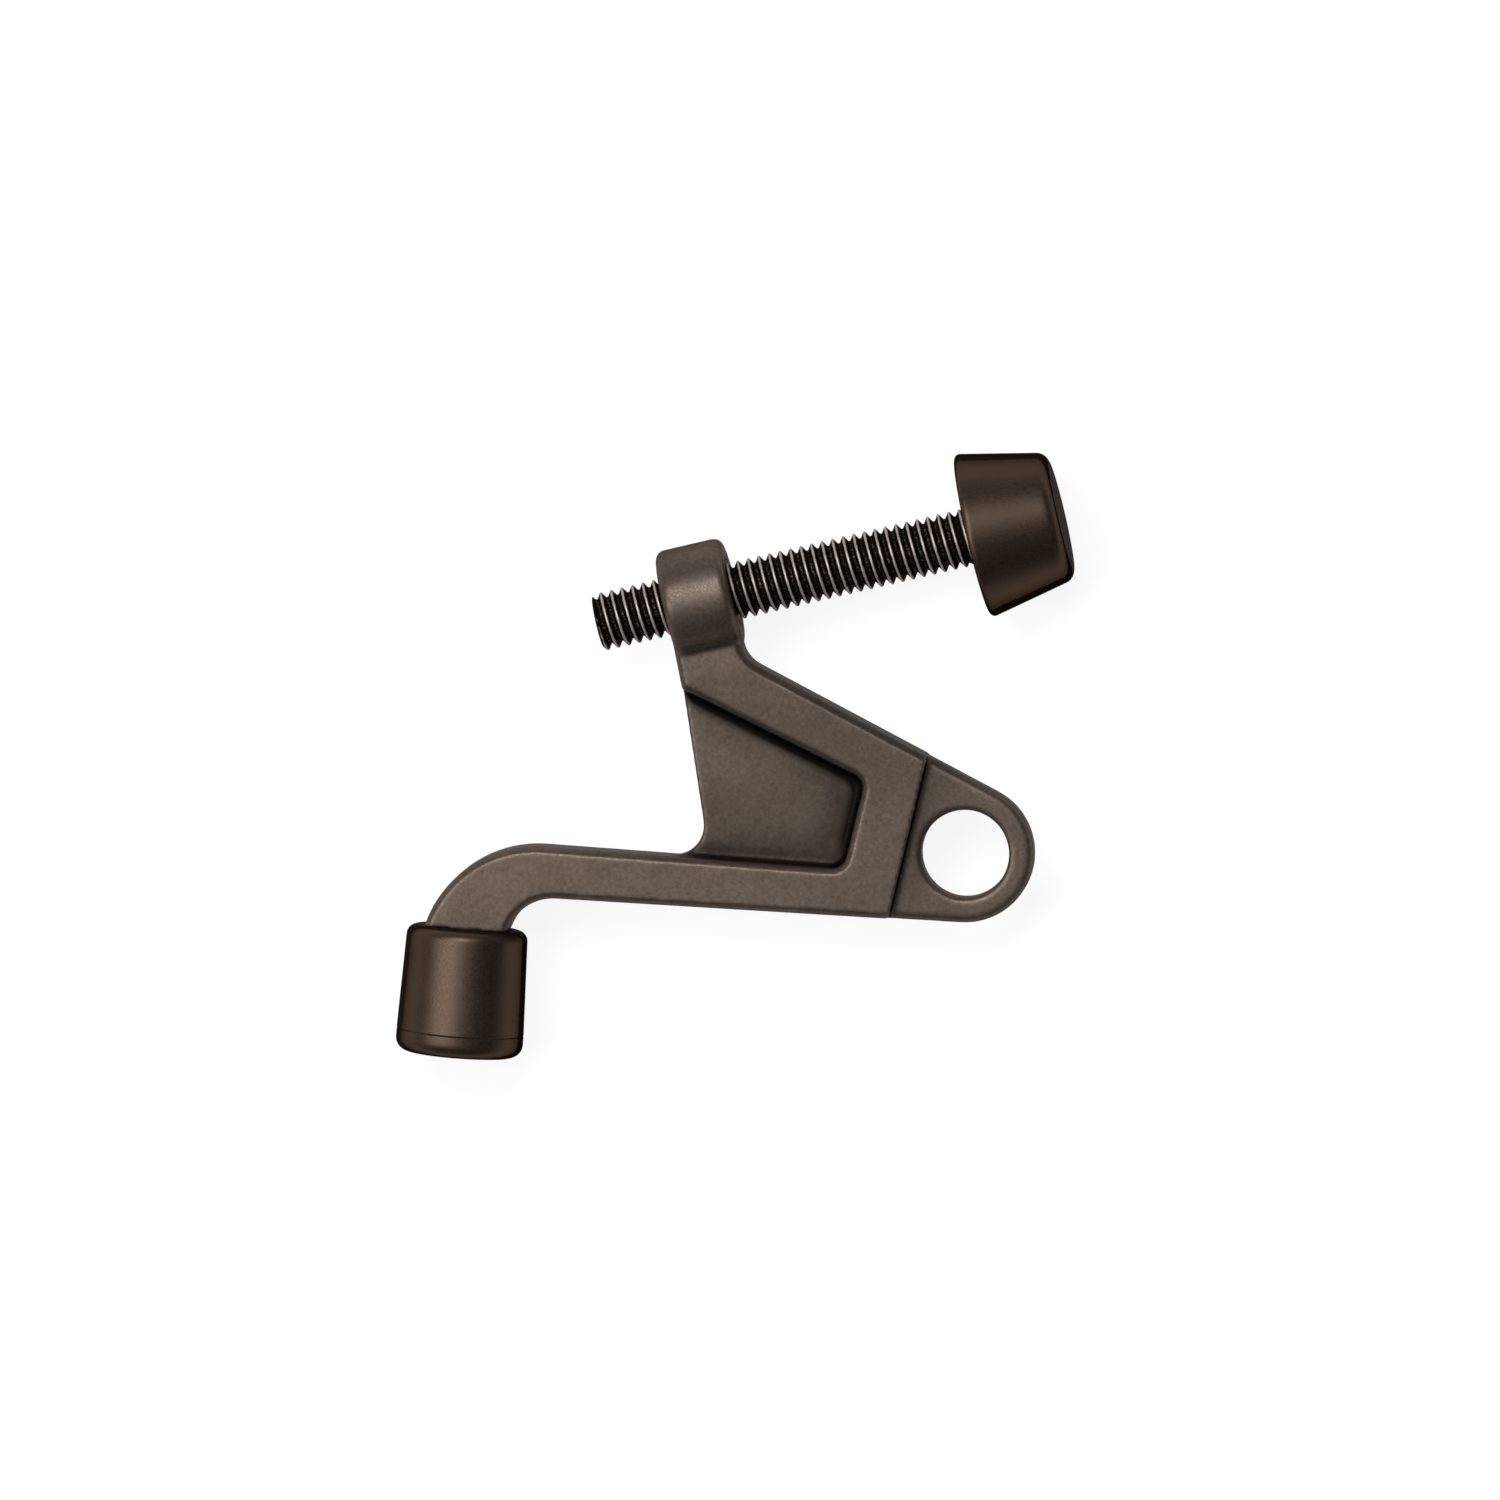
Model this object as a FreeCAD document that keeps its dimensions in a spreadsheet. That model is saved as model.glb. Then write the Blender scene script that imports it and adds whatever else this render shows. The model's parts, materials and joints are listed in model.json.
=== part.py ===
"""Hinge pin door stop: a cast bracket that hangs on a door hinge's pin, with an adjustable bumper screw.

Row frame, in millimetres: the origin is the centre of the hinge pin's bore, and +Z runs along the bore.
The bracket lies flat in X and Y, alike on both sides of its mid-plane so that it fits either hand of door.
The foot with its rubber tip points to -X and -Y, and the screw with its rubber bumper points to +X.
"""
import FreeCAD, Part
import math
import os
import Sketcher

# Each driving dimension: its name, its value in millimetres or degrees, and what it is.
DIMENSIONS = [
    # The eye that the hinge pin passes through
    ("pin_bore", 7.8, "diameter of the hinge pin's bore"),
    ("rim_chamfer", 0.25, "chamfer of the bore's two rims"),
    ("eye_diameter", 12.2, "outside of the eye"),
    ("eye_thickness", 3.4, "the eye is thinner than the frame"),
    # The frame: a tapered arm below, a sloping bar above, and the post that joins them by the eye
    ("frame_thickness", 5.2, "across the flat sides"),
    ("edge_bevel", 0.45, "bevel along the cast edges"),
    ("bottom_fall", 3.1, "slope of the bottom edge, falling towards the eye"),
    ("slope_fall", 27.8, "slope of the upper bar's outer edge"),
    ("step_lean", 13.4, "lean of the step between frame and eye"),
    ("step_distance", 5.2, "from the bore's centre to the step"),
    ("post_width", 4.9, "between the step and the recess"),
    ("bar_depth", 4.1, "upper bar's depth, abreast of the bore"),
    ("bar_inner_fall", 26.2, "slope of the upper bar's inner edge"),
    ("arm_depth", 4.0, "arm's depth, abreast of the bore"),
    ("arm_top_fall", 3.9, "slope of the arm's upper edge"),
    ("recess_corner", 1.35, "corner radius of the recess"),
    ("back_lean", 11.3, "lean of the frame's back edge below the boss"),
    ("back_distance", 21.7, "from the bore's centre to that back edge"),
    # The thin web that fills the frame
    ("web_thickness", 1.8, "leaves a recess on each side"),
    ("web_lean", 8.7, "lean of the web's open edge, less than the back edge's"),
    ("web_foot_round", 2.7, "fillet between the web's open edge and the arm"),
    ("recess_round", 0.6, "fillet at the foot of the recess's walls"),
    ("back_allowance", 5.0, "metal behind the back edge until it is trimmed"),
    # The boss that the bumper screw is threaded into
    ("screw_rise", 13.3, "rise of the screw's axis, towards the bumper"),
    ("screw_distance", 27.2, "from the bore's centre to the screw's axis"),
    ("boss_diameter", 9.9, "outside of the boss"),
    ("boss_length", 5.8, "along the screw"),
    ("boss_setback", 15.0, "from abreast of the bore back to the boss"),
    ("boss_bevel", 0.65, "bevel of the boss's two ends"),
    ("boss_fillet", 2.8, "between the boss and the sloping bar"),
    # The foot: the arm turns down into it and carries the tip on a peg
    ("foot_tilt", 4.3, "lean of the foot's axis"),
    ("foot_distance", 43.6, "from the bore's centre to the foot's axis"),
    ("foot_seat_depth", 10.2, "from abreast of the bore down to the tip's seat"),
    ("neck_width", 7.4, "arm's width where it meets the tip"),
    ("neck_outer_radius", 10.4, "outside of the arm's bend"),
    ("neck_inner_radius", 4.2, "inside of the arm's bend"),
    ("peg_diameter", 4.6, "peg inside the tip"),
    ("peg_length", 7.6, "from the seat to the peg's end"),
    ("barb_diameter", 6.2, "head that keeps the tip on the peg"),
    ("barb_length", 2.2, "length of that head"),
    ("barb_taper", 0.9, "how far the head narrows to its end"),
    # The rubber tip on the foot
    ("tip_top_diameter", 10.7, "at the seat"),
    ("tip_base_diameter", 11.3, "at the parting line"),
    ("tip_length", 11.3, "along the foot's axis"),
    ("tip_parting", 9.3, "from the seat to the moulding's parting line"),
    ("tip_top_round", 0.9, "rounding of the upper rim"),
    ("tip_base_round", 1.2, "rounding of the lower rim"),
    ("tip_clearance", 0.02, "between the peg and the tip's socket"),
    # The bumper screw: thread diameter, and where its ends are
    ("screw_diameter", 5.15, "over the thread"),
    ("screw_tail", 6.3, "how far the tail stands behind the boss"),
    ("screw_reach", 22.0, "from the boss to the bumper"),
    ("tail_chamfer", 0.4, "chamfer at the tail's end"),
    ("head_diameter", 9.6, "disc head inside the bumper"),
    ("head_thickness", 1.8, "thickness of the disc head"),
    ("head_depth", 2.6, "rubber behind the disc head"),
    ("running_clearance", 0.05, "round the screw, in the boss and in the bumper"),
    ("bore_chamfer", 0.35, "lead-in at the boss's two faces"),
    # The rubber bumper on the screw
    ("bumper_back_diameter", 14.9, "rear rim, the widest place"),
    ("bumper_front_diameter", 11.4, "front face, before its rounding"),
    ("bumper_length", 8.1, "along the screw"),
    ("bumper_back_bevel", 0.4, "bevel of the rear rim, along the side"),
    ("bumper_front_round", 1.2, "rounding of the front rim"),
]

doc = FreeCAD.newDocument("hinge_pin_door_stop")
sizes = doc.addObject("Spreadsheet::Sheet", "sizes")
for row, (alias, value, meaning) in enumerate(DIMENSIONS, start=1):
    sizes.set(f"A{row}", alias)
    sizes.set(f"B{row}", str(value))
    sizes.set(f"C{row}", meaning)
    sizes.setAlias(f"B{row}", alias)
doc.recompute()

# Lines that more than one outline or piece follows, as formulas of the sheet's cells.
EYE_RADIUS = "sizes.eye_diameter / 2"
ARM_TOP = "sizes.eye_diameter / 2 - sizes.arm_depth"
BAR_INNER = "sizes.eye_diameter / 2 - sizes.bar_depth"
POST_INNER = "sizes.step_distance + sizes.post_width"
POST_MIDDLE = "sizes.step_distance + sizes.post_width / 2"
BOSS_REAR = "-(sizes.boss_setback + sizes.boss_length)"
BOSS_FRONT = "-sizes.boss_setback"
SCREW_RADIUS = "sizes.screw_diameter / 2"
SCREW_BORE = "sizes.screw_diameter / 2 + sizes.running_clearance"
SCREW_END = "-(sizes.boss_setback + sizes.boss_length + sizes.screw_tail)"
BUMPER_REAR = "sizes.screw_reach - sizes.boss_setback"
HEAD_REAR = "sizes.screw_reach - sizes.boss_setback + sizes.head_depth"
SPARE_BACK = "sizes.back_distance + sizes.back_allowance"
# The web's open edge starts where the back edge meets the bar's inner edge.
WEB_BACK = (
    f"(sizes.back_distance * cos(sizes.bar_inner_fall + sizes.web_lean)"
    f" + ({BAR_INNER}) * sin(sizes.back_lean - sizes.web_lean)) / cos(sizes.bar_inner_fall + sizes.back_lean)"
)


def new_body(label):
    """A body of the document, for one physical piece."""
    body = doc.addObject("PartDesign::Body", label)
    body.Label = label
    return body


def new_sketch(body, name):
    """A sketch on the body's own XY plane, which is the bracket's mid-plane."""
    sketch = body.newObject("Sketcher::SketchObject", name)
    plane = next(item for item in body.Origin.OriginFeatures if item.Role == "XY_Plane")
    sketch.AttachmentSupport = (plane, [""])
    sketch.MapMode = "FlatFace"
    return sketch


def turn_sketch(sketch, angle, distance):
    """Turns a sketch by the angle and lifts it by the distance, so that its X axis is an axis of turning."""
    sketch.setExpression("AttachmentOffset.Rotation.Angle", angle)
    sketch.setExpression("AttachmentOffset.Base.x", f"-({distance}) * sin({angle})")
    sketch.setExpression("AttachmentOffset.Base.y", f"({distance}) * cos({angle})")


def follow_screw(sketch):
    """The screw's frame: X along the screw towards the bumper, from the point abreast of the bore."""
    turn_sketch(sketch, "sizes.screw_rise", "sizes.screw_distance")


def follow_foot(sketch):
    """The foot's frame: X up along the foot's axis, from the point abreast of the bore."""
    turn_sketch(sketch, "90 - sizes.foot_tilt", "sizes.foot_distance")


def bind(sketch, constraint, formula):
    """Adds a dimension to a sketch and binds it to a formula of the sheet's cells."""
    index = sketch.addConstraint(constraint)
    sketch.setExpression(f"Constraints[{index}]", formula)


def draw_loop(sketch, corners, ways, rounds, gap=None):
    """Joins straight lines through the corners and rounds those that have a radius. Returns the lines.

    Line k runs from corner k to the next, its own way. A rounded corner gets an arc tangent to both of its
    lines. A gap is a corner that stays open, as its number and the places of its two loose ends.
    """
    count = len(corners)
    starts = list(corners)
    ends = list(corners)
    for k, formula in enumerate(rounds):
        if formula:
            before, after = ways[k - 1], ways[k]
            trim = sketch.evalExpression(formula) * math.tan(before.getAngle(after) / 2)
            ends[k] = corners[k] - before * trim
            starts[k] = corners[k] + after * trim
    if gap:
        ends[gap[0]], starts[gap[0]] = gap[1:]
    lines = []
    for k in range(count):
        segment = Part.LineSegment(starts[k], ends[(k + 1) % count])
        lines.append(sketch.addGeometry(segment, False))
    for k, formula in enumerate(rounds):
        if gap and k == gap[0]:
            continue
        if formula:
            left = ways[k - 1].cross(ways[k]).z > 0
            inward = FreeCAD.Vector(-ways[k - 1].y, ways[k - 1].x, 0) * (1 if left else -1)
            centre = ends[k] + inward * sketch.evalExpression(formula)
            arc = add_arc(sketch, centre, ends[k], starts[k], left, formula)
            into, out = (1, 2) if left else (2, 1)
            sketch.addConstraint(Sketcher.Constraint("Tangent", lines[k - 1], 2, arc, into))
            sketch.addConstraint(Sketcher.Constraint("Tangent", arc, out, lines[k], 1))
        else:
            sketch.addConstraint(Sketcher.Constraint("Coincident", lines[k - 1], 2, lines[k], 1))
    return lines


def add_arc(sketch, centre, begin, finish, left, formula):
    """An arc from one place to another about a centre, turning left or right, with its radius bound."""
    first, last = (begin, finish) if left else (finish, begin)
    angles = [math.atan2((place - centre).y, (place - centre).x) for place in (first, last)]
    radius = (begin - centre).Length
    circle = Part.Circle(centre, FreeCAD.Vector(0, 0, 1), radius)
    arc = sketch.addGeometry(Part.ArcOfCircle(circle, *angles), False)
    bind(sketch, Sketcher.Constraint("Radius", arc, radius), formula)
    return arc


def facing_line(sketch, edge):
    """An edge's outward direction and its distance that way from the bore's centre."""
    angle = math.radians(sketch.evalExpression(edge[0]))
    return FreeCAD.Vector(math.cos(angle), math.sin(angle), 0), sketch.evalExpression(edge[1])


def edge_outline(sketch, edges, gap=None):
    """A closed outline of straight edges, anticlockwise, each placed by its facing and its distance.

    An edge's facing is the angle of its outward side, and its distance is measured from the bore's centre
    that way. Its third entry is the radius of the corner before it, or None for a sharp one.
    """
    faced = [facing_line(sketch, edge) for edge in edges]
    corners = []
    for (n1, d1), (n2, d2) in zip(faced[-1:] + faced[:-1], faced):
        cross = n1.x * n2.y - n1.y * n2.x
        corners.append(FreeCAD.Vector(d1 * n2.y - d2 * n1.y, d2 * n1.x - d1 * n2.x, 0) * (1 / cross))
    ways = [FreeCAD.Vector(-normal.y, normal.x, 0) for normal, _ in faced]
    lines = draw_loop(sketch, corners, ways, [corner for _, _, corner in edges], gap)
    for line, (facing, distance, _), (_, place) in zip(lines, edges, faced):
        way = math.radians(sketch.evalExpression(facing) + 90)
        bind(sketch, Sketcher.Constraint("Angle", line, way), f"{facing} + 90")
        formula = distance if place > 0 else f"-({distance})"
        bind(sketch, Sketcher.Constraint("Distance", -1, 1, line, abs(place)), formula)
    return lines


def corner_outline(sketch, corners):
    """A closed outline through corners, each given by formulas for its X and Y and an optional radius."""
    places = []
    for across, up, _ in corners:
        places.append(FreeCAD.Vector(sketch.evalExpression(across), sketch.evalExpression(up), 0))
    ways = [(after - here).normalize() for here, after in zip(places, places[1:] + places[:1])]
    lines = draw_loop(sketch, places, ways, [corner for _, _, corner in corners])
    for k, (across, up, corner) in enumerate(corners):
        point = (lines[k], 1)
        if corner:
            point = (sketch.addGeometry(Part.Point(places[k]), True), 1)
            for line in (lines[k - 1], lines[k]):
                sketch.addConstraint(Sketcher.Constraint("PointOnObject", *point, line))
        bind(sketch, Sketcher.Constraint("DistanceX", -1, 1, *point, places[k].x), across)
        if up == "0":
            sketch.addConstraint(Sketcher.Constraint("PointOnObject", *point, -1))
        else:
            bind(sketch, Sketcher.Constraint("DistanceY", -1, 1, *point, places[k].y), up)


def pad(body, sketch, name, thickness, kind="PartDesign::Pad"):
    """Thickens an outline equally to both sides of the mid-plane or, as a pocket, cuts it away."""
    feature = body.newObject(kind, name)
    feature.Profile = sketch
    feature.SideType = "Symmetric"
    feature.setExpression("Length", thickness)
    doc.recompute()
    return feature


def turned(body, sketch, name, kind="PartDesign::Revolution"):
    """Turns an outline about its sketch's X axis, to add material or, as a groove, to take it away."""
    feature = body.newObject(kind, name)
    feature.Profile = sketch
    feature.ReferenceAxis = (sketch, ["H_Axis"])
    feature.Angle = 360
    doc.recompute()


def dress_edges(body, name, feature, wanted, size, bevel=True):
    """Bevels the edges of a feature that the test picks or, with no bevel, rounds them."""
    names = [f"Edge{i}" for i, edge in enumerate(feature.Shape.Edges, start=1) if wanted(edge)]
    dressing = body.newObject("PartDesign::Chamfer" if bevel else "PartDesign::Fillet", name)
    dressing.Base = (feature, names)
    dressing.setExpression("Size" if bevel else "Radius", size)
    doc.recompute()
    return dressing


def lies_at(height):
    """A test for edges that lie flat at the given height on either side of the mid-plane."""
    level = sizes.evalExpression(height)

    def test(edge):
        low, high = edge.BoundBox.ZMin, edge.BoundBox.ZMax
        return high - low < 0.001 and abs(abs(low) - level) < 0.001

    return test


def along(facing, distance):
    """A test for edges that lie in the plane with the given facing and distance from the bore's centre."""
    angle = math.radians(sizes.evalExpression(facing))
    normal = FreeCAD.Vector(math.cos(angle), math.sin(angle), 0)
    place = sizes.evalExpression(distance)

    def test(edge):
        middle = edge.valueAt((edge.FirstParameter + edge.LastParameter) / 2)
        points = [vertex.Point for vertex in edge.Vertexes] + [middle]
        return all(abs(point.dot(normal) - place) < 0.001 for point in points)

    return test


# Outlines of the casting's flat parts. The slopes and distances of shared edges are the same formulas.
STEP = ("-sizes.step_lean", "-sizes.step_distance")
SLOPE = ("90 - sizes.slope_fall", EYE_RADIUS)
BOTTOM = ("270 - sizes.bottom_fall", EYE_RADIUS)
ARM_TOP_EDGE = ("90 - sizes.arm_top_fall", f"-({ARM_TOP})")
SEAT = ("270 - sizes.foot_tilt", "sizes.foot_seat_depth")
SPARE = ("180 + sizes.back_lean", SPARE_BACK)


def cast_eye(body):
    """The thin eye, run half-way into the post that carries it."""
    sketch = new_sketch(body, "eye_outline")
    root = ("180 - sizes.step_lean", POST_MIDDLE)
    edge_outline(sketch, [(*BOTTOM, None), (*SLOPE, EYE_RADIUS), (*root, None)])
    eye = pad(body, sketch, "eye", "sizes.eye_thickness")
    flat = lies_at("sizes.eye_thickness / 2")
    inside = along(*root)
    dress_edges(body, "eye_bevel", eye, lambda edge: flat(edge) and not inside(edge), "sizes.edge_bevel")


def neck_corner(side):
    """Formulas for X and Y of a corner of the neck's end, on the side given by a sign."""
    across = f"(sizes.foot_distance {side} sizes.neck_width / 2)"
    x = f"-{across} * cos(sizes.foot_tilt) - sizes.foot_seat_depth * sin(sizes.foot_tilt)"
    y = f"{across} * sin(sizes.foot_tilt) - sizes.foot_seat_depth * cos(sizes.foot_tilt)"
    return x, y


def bend_centre(sketch, edge, corner, radius):
    """The centre of a bend that touches an edge and passes through a corner, on the bore's side of it.

    The radius is positive for a bend inside the edge and negative for one outside it.
    """
    normal, place = facing_line(sketch, edge)
    rightward = FreeCAD.Vector(abs(normal.y), -normal.x if normal.y > 0 else normal.x, 0)
    depth = place - radius
    reach = math.sqrt(radius**2 - (corner.dot(normal) - depth) ** 2)
    return normal * depth + rightward * (corner.dot(rightward) + reach)


def cast_frame(body):
    """The thick frame: post, sloping bar up into the boss, arm and downturned neck."""
    edges = [
        (*STEP, None),
        (*SLOPE, None),
        ("sizes.screw_rise", BOSS_FRONT, "sizes.boss_fillet"),
        ("90 + sizes.screw_rise", "sizes.screw_distance", None),
        (*SPARE, None),
        ("270 - sizes.bar_inner_fall", f"-({BAR_INNER})", None),
        ("180 - sizes.step_lean", POST_INNER, "sizes.recess_corner"),
        (*ARM_TOP_EDGE, "sizes.recess_corner"),
        (*BOTTOM, None),
    ]
    sketch = new_sketch(body, "frame_outline")
    outer, inner = neck_corner("+"), neck_corner("-")
    outer_end, inner_end = (
        FreeCAD.Vector(sketch.evalExpression(x), sketch.evalExpression(y), 0) for x, y in (outer, inner)
    )
    outer_centre = bend_centre(sketch, ARM_TOP_EDGE, outer_end, sizes.neck_outer_radius)
    inner_centre = bend_centre(sketch, BOTTOM, inner_end, -sizes.neck_inner_radius)
    arm_end = outer_centre + facing_line(sketch, ARM_TOP_EDGE)[0] * sizes.neck_outer_radius
    bottom_end = inner_centre - facing_line(sketch, BOTTOM)[0] * sizes.neck_inner_radius
    lines = edge_outline(sketch, edges, (len(edges) - 1, arm_end, bottom_end))
    seat = sketch.addGeometry(Part.LineSegment(outer_end, inner_end), False)
    for point, place, (x, y) in ((1, outer_end, outer), (2, inner_end, inner)):
        bind(sketch, Sketcher.Constraint("DistanceX", -1, 1, seat, point, place.x), x)
        bind(sketch, Sketcher.Constraint("DistanceY", -1, 1, seat, point, place.y), y)
    outside = add_arc(sketch, outer_centre, arm_end, outer_end, True, "sizes.neck_outer_radius")
    inside = add_arc(sketch, inner_centre, inner_end, bottom_end, False, "sizes.neck_inner_radius")
    sketch.addConstraint(Sketcher.Constraint("Tangent", lines[-2], 2, outside, 1))
    sketch.addConstraint(Sketcher.Constraint("Coincident", outside, 2, seat, 1))
    sketch.addConstraint(Sketcher.Constraint("Coincident", seat, 2, inside, 2))
    sketch.addConstraint(Sketcher.Constraint("Tangent", inside, 1, lines[-1], 1))
    pad(body, sketch, "frame", "sizes.frame_thickness")


def cast_web(body):
    """The thin web that closes the frame, filleted to the recess's walls."""
    edges = [
        ("-sizes.step_lean", f"-({POST_MIDDLE})", None),
        ("90 - sizes.bar_inner_fall", f"{BAR_INNER} + sizes.recess_round / 2", None),
        (*SPARE, None),
        ("270 - sizes.bottom_fall", "sizes.eye_diameter / 2 - sizes.arm_depth / 2", None),
    ]
    sketch = new_sketch(body, "web_outline")
    edge_outline(sketch, edges)
    web = pad(body, sketch, "web", "sizes.web_thickness")
    flat = lies_at("sizes.web_thickness / 2")
    spare = along(*SPARE)

    def foot(edge):
        return flat(edge) and not spare(edge)

    dress_edges(body, "recess_rounding", web, foot, "sizes.recess_round", bevel=False)


def trim_back(body):
    """Trims frame and web to the back edge, which turns into the web's open edge and its foot on the arm."""
    edges = [
        ("270 - sizes.arm_top_fall", ARM_TOP, None),
        ("sizes.web_lean", f"-({WEB_BACK})", "sizes.web_foot_round"),
        ("sizes.back_lean", "-sizes.back_distance", None),
        ("90 + sizes.screw_rise", "sizes.screw_distance + sizes.boss_fillet", None),
        ("180 + sizes.back_lean", f"{SPARE_BACK} + sizes.boss_fillet", None),
    ]
    sketch = new_sketch(body, "back_outline")
    edge_outline(sketch, edges)
    back = pad(body, sketch, "back_trim", "2 * sizes.frame_thickness", "PartDesign::Pocket")
    flat = lies_at("sizes.frame_thickness / 2")
    at_seat = along(*SEAT)
    at_step = along(*STEP)

    def outer(edge):
        return flat(edge) and not at_seat(edge) and not at_step(edge)

    dress_edges(body, "frame_bevel", back, outer, "sizes.edge_bevel")


def cast_boss(body):
    """The round boss along the screw."""
    sketch = new_sketch(body, "boss_profile")
    follow_screw(sketch)
    radius = "sizes.boss_diameter / 2"
    corners = [
        (BOSS_REAR, "0", None),
        (BOSS_FRONT, "0", None),
        (BOSS_FRONT, f"{radius} - sizes.boss_bevel", None),
        (f"{BOSS_FRONT} - sizes.boss_bevel", radius, None),
        (f"{BOSS_REAR} + sizes.boss_bevel", radius, None),
        (BOSS_REAR, f"{radius} - sizes.boss_bevel", None),
    ]
    corner_outline(sketch, corners)
    turned(body, sketch, "boss")


def bore_boss(body):
    """The screw's hole through the boss, with a lead-in at each face, clear of any metal just past them."""
    sketch = new_sketch(body, "screw_bore_profile")
    follow_screw(sketch)
    mouth = f"{SCREW_BORE} + sizes.bore_chamfer"
    rear = f"{BOSS_REAR} - sizes.bore_chamfer"
    front = f"{BOSS_FRONT} + sizes.bore_chamfer"
    corners = [
        (rear, "0", None),
        (front, "0", None),
        (front, mouth, None),
        (BOSS_FRONT, mouth, None),
        (f"{BOSS_FRONT} - sizes.bore_chamfer", SCREW_BORE, None),
        (f"{BOSS_REAR} + sizes.bore_chamfer", SCREW_BORE, None),
        (BOSS_REAR, mouth, None),
        (rear, mouth, None),
    ]
    corner_outline(sketch, corners)
    turned(body, sketch, "screw_bore", "PartDesign::Groove")


def bore_eye(body):
    """The hinge pin's bore, with chamfered rims."""
    sketch = new_sketch(body, "pin_bore_outline")
    circle = Part.Circle(FreeCAD.Vector(0, 0, 0), FreeCAD.Vector(0, 0, 1), sizes.pin_bore / 2)
    ring = sketch.addGeometry(circle, False)
    sketch.addConstraint(Sketcher.Constraint("Coincident", ring, 3, -1, 1))
    bind(sketch, Sketcher.Constraint("Diameter", ring, sizes.pin_bore), "sizes.pin_bore")
    bore = pad(body, sketch, "pin_bore_cut", "2 * sizes.eye_thickness", "PartDesign::Pocket")
    flat = lies_at("sizes.eye_thickness / 2")
    bore_radius = sizes.pin_bore / 2

    def rim(edge):
        return flat(edge) and hasattr(edge.Curve, "Radius") and abs(edge.Curve.Radius - bore_radius) < 0.001

    dress_edges(body, "pin_bore_rims", bore, rim, "sizes.rim_chamfer")


def peg_corners(clearance):
    """The peg and its barbed head in the foot's frame, grown by the clearance, from the seat down."""
    seat = "-sizes.foot_seat_depth"
    barb = f"{seat} - sizes.peg_length + sizes.barb_length + {clearance}"
    end = f"{seat} - sizes.peg_length - {clearance}"
    peg_radius = f"sizes.peg_diameter / 2 + {clearance}"
    barb_radius = f"sizes.barb_diameter / 2 + {clearance}"
    tail_radius = f"sizes.barb_diameter / 2 - sizes.barb_taper + {clearance}"
    return [(barb, peg_radius), (barb, barb_radius), (end, tail_radius), (end, "0")]


def cast_peg(body):
    """The barbed peg under the neck, rooted a little way up inside it."""
    sketch = new_sketch(body, "peg_profile")
    follow_foot(sketch)
    root = "-sizes.foot_seat_depth + sizes.peg_diameter / 2"
    barb, rim, end, tip = peg_corners("0")
    corners = [(root, "0", None), (root, barb[1], None)]
    corners += [(*corner, None) for corner in (barb, rim, end, tip)]
    corner_outline(sketch, corners)
    turned(body, sketch, "peg")


def make_casting():
    """The bracket: one casting of eye, frame, web, threaded boss and peg."""
    body = new_body("casting")
    cast_eye(body)
    cast_frame(body)
    cast_web(body)
    trim_back(body)
    cast_boss(body)
    bore_boss(body)
    bore_eye(body)
    cast_peg(body)
    return body


def make_screw():
    """The bumper screw, plain at its thread's full diameter, with the disc head that the rubber hides."""
    body = new_body("adjusting_screw")
    sketch = new_sketch(body, "screw_profile")
    follow_screw(sketch)
    head_front = f"{HEAD_REAR} + sizes.head_thickness"
    head_radius = "sizes.head_diameter / 2"
    corners = [
        (SCREW_END, "0", None),
        (head_front, "0", None),
        (head_front, head_radius, None),
        (HEAD_REAR, head_radius, None),
        (HEAD_REAR, SCREW_RADIUS, None),
        (f"{SCREW_END} + sizes.tail_chamfer", SCREW_RADIUS, None),
        (SCREW_END, f"{SCREW_RADIUS} - sizes.tail_chamfer", None),
    ]
    corner_outline(sketch, corners)
    turned(body, sketch, "screw")
    return body


def make_bumper():
    """The tapered rubber bumper, with the cavity that the screw's head runs in."""
    body = new_body("screw_bumper")
    sketch = new_sketch(body, "bumper_profile")
    follow_screw(sketch)
    front = f"{BUMPER_REAR} + sizes.bumper_length"
    head_rear = f"{HEAD_REAR} - sizes.running_clearance"
    head_front = f"{HEAD_REAR} + sizes.head_thickness + sizes.running_clearance"
    head_radius = "sizes.head_diameter / 2 + sizes.running_clearance"
    corners = [
        (BUMPER_REAR, SCREW_BORE, None),
        (head_rear, SCREW_BORE, None),
        (head_rear, head_radius, None),
        (head_front, head_radius, None),
        (head_front, "0", None),
        (front, "0", None),
        (front, "sizes.bumper_front_diameter / 2", "sizes.bumper_front_round"),
        (f"{BUMPER_REAR} + sizes.bumper_back_bevel", "sizes.bumper_back_diameter / 2", None),
        (BUMPER_REAR, "sizes.bumper_back_diameter / 2 - sizes.bumper_back_bevel", None),
    ]
    corner_outline(sketch, corners)
    turned(body, sketch, "bumper")
    return body


def make_tip():
    """The rubber tip, pushed over the peg up to the neck's end."""
    body = new_body("foot_tip")
    sketch = new_sketch(body, "tip_profile")
    follow_foot(sketch)
    seat = "-sizes.foot_seat_depth"
    base = f"{seat} - sizes.tip_length"
    barb, rim, end, tip = peg_corners("sizes.tip_clearance")
    corners = [
        (seat, "sizes.tip_top_diameter / 2", "sizes.tip_top_round"),
        (f"{seat} - sizes.tip_parting", "sizes.tip_base_diameter / 2", None),
        (base, "sizes.tip_base_diameter / 2", "sizes.tip_base_round"),
        (base, "0", None),
        (*tip, None),
        (*end, None),
        (*rim, None),
        (*barb, None),
        (seat, barb[1], None),
    ]
    corner_outline(sketch, corners)
    turned(body, sketch, "tip")
    return body


def check(bodies):
    """Stops unless every object is up to date and every piece is one sound solid."""
    for item in doc.Objects:
        if "Invalid" in item.State or "Error" in item.State:
            raise RuntimeError(f"{item.Name} failed: {item.State}")
    for body in bodies:
        shape = body.Shape
        if shape.isNull() or not shape.isValid() or len(shape.Solids) != 1:
            raise RuntimeError(f"{body.Label} is not one sound solid")


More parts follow.
